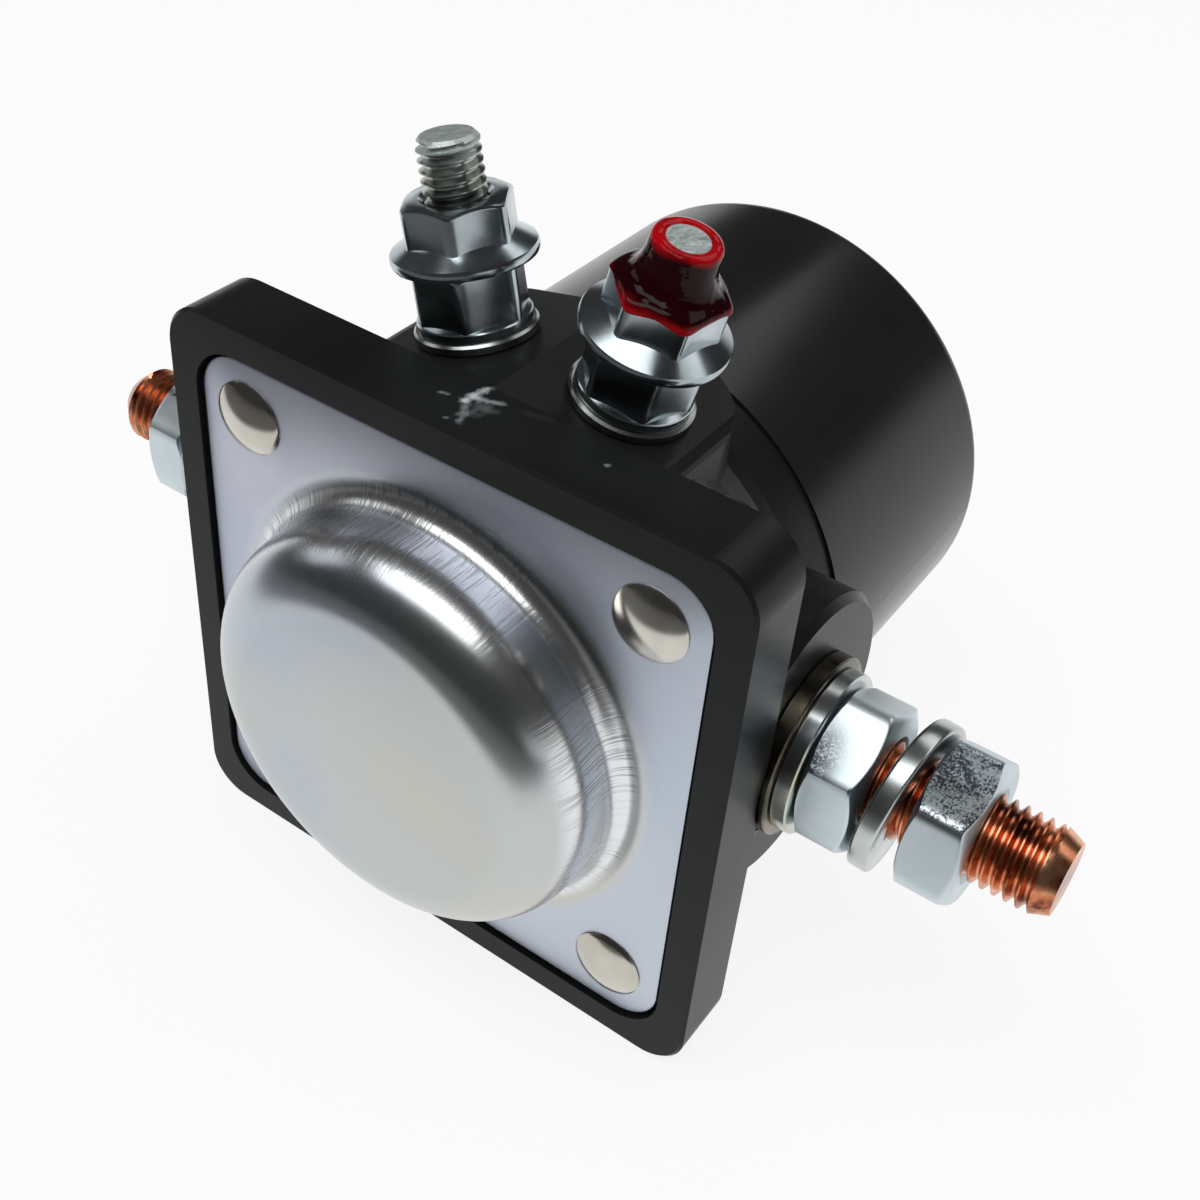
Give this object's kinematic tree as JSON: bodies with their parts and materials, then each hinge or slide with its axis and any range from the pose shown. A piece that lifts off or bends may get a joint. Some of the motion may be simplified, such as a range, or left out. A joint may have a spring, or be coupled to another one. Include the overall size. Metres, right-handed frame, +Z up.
{
  "type": "starter solenoid",
  "caption": "Starter solenoid with a black moulded flange housing, a domed zinc cover, a coil can, copper side studs and leaning top studs, one sealed in red lacquer.",
  "frame": {"origin": "the middle of the part's box in X and Y, at the lower edge of the square flange, on which it stands", "axes": "+Y along the can's axis, from the domed cover to the can's closed end; +X along the big studs, to the starter stud; +Z up, to the small studs"},
  "size_m": [0.1068, 0.0704, 0.0757],
  "materials": {
    "moulding": "black phenolic moulding, satin to glossy",
    "can_paint": "glossy black paint on steel",
    "cover_zinc": "bright zinc plate, slightly iridescent, with drawing marks",
    "gasket_fibre": "dark fibre",
    "rivet_nickel": "bright nickel plate, softly worn",
    "stud_copper": "copper-plated thread, bright with darker stains",
    "washer_tarnished": "zinc plate with a dull brassy tarnish",
    "washer_zinc": "zinc plate, slightly tarnished",
    "nut_zinc": "bright zinc plate with fine speckle",
    "lock_zinc": "zinc plate",
    "small_steel": "bright plated steel",
    "small_nut_zinc": "bright zinc plate, polished",
    "lacquer_red": "deep red transparent lacquer",
    "bobbin_nylon": "natural nylon",
    "winding_copper": "enamelled copper wire",
    "core_steel": "turned mild steel",
    "contact_brass": "rolled brass",
    "lead_copper": "enamelled copper wire",
    "rod_steel": "turned steel",
    "disc_copper": "rolled copper",
    "bush_phenolic": "brown phenolic",
    "spring_steel": "drawn spring wire"
  },
  "bodies": {
    "casing": {"housing": "moulding", "coil_can": "can_paint", "cover_plate": "cover_zinc", "cover_gasket": "gasket_fibre", "cover_rivets": "rivet_nickel", "battery_stud": "stud_copper", "starter_stud": "stud_copper", "battery_washer_inner": "washer_tarnished", "battery_washer_outer": "washer_zinc", "battery_nut_inner": "nut_zinc", "battery_lock_washer": "lock_zinc", "battery_nut_outer": "nut_zinc", "starter_washer_inner": "washer_tarnished", "starter_washer_outer": "washer_zinc", "starter_nut_inner": "nut_zinc", "starter_lock_washer": "lock_zinc", "starter_nut_outer": "nut_zinc", "start_stud": "small_steel", "ignition_stud": "small_steel", "start_washer": "small_steel", "ignition_washer": "small_steel", "start_nut_lower": "small_nut_zinc", "ignition_nut_lower": "small_nut_zinc", "start_nut_upper": "small_nut_zinc", "ignition_nut_upper": "small_nut_zinc", "sealing_lacquer": "lacquer_red", "bobbin": "bobbin_nylon", "coil_winding": "winding_copper", "pole_plate": "core_steel", "fixed_core": "core_steel", "ignition_contact": "contact_brass", "start_lead": "lead_copper", "ground_lead": "lead_copper", "return_spring": "spring_steel"},
    "armature": {"plunger": "core_steel", "push_rod": "rod_steel", "spring_seat": "rod_steel", "rod_clip": "rod_steel", "contact_spring": "spring_steel"},
    "bridge": {"contact_disc": "disc_copper", "disc_bush": "bush_phenolic", "disc_washer": "bush_phenolic"}
  },
  "joints": [
    {"name": "armature_slide", "type": "slide", "parent": "casing", "child": "armature", "axis": [0, 1, 0], "range_m": [0, 0.003], "stiffness_N_per_m": 1500, "springref_m": -0.0035, "deforming": ["return_spring"]},
    {"name": "bridge_float", "type": "slide", "parent": "armature", "child": "bridge", "axis": [0, -1, 0], "range_m": [0, 0.0008], "stiffness_N_per_m": 4000, "springref_m": -0.0025, "deforming": ["contact_spring"]}
  ]
}
